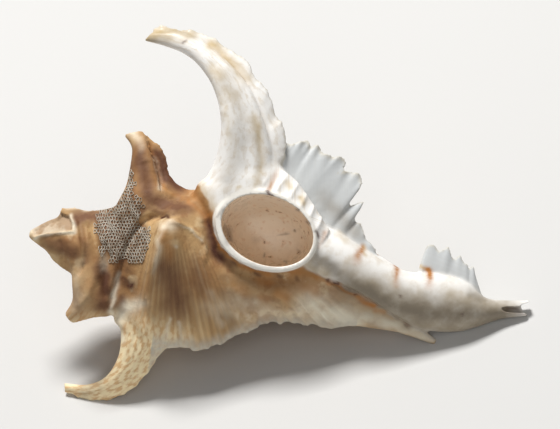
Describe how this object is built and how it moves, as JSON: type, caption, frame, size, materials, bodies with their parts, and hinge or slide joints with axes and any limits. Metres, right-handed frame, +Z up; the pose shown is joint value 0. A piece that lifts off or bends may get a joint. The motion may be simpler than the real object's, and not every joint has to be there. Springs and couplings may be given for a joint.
{
  "type": "murex shell",
  "caption": "Spiny three-varix sea snail shell with a long hooked lip spine, pleated wing, oval mouth and a closed canal, lying with its mouth up.",
  "frame": {"origin": "centre of the bounding box's bottom, on the surface the shell lies on", "axes": "+Z up, +X from the spire's tip to the canal's end as seen from above, -Y the side that the mouth leans towards"},
  "size_m": [0.064, 0.033, 0.036],
  "materials": {
    "shell": "satin"
  },
  "bodies": {
    "root": {"shell": "shell"}
  },
  "joints": []
}
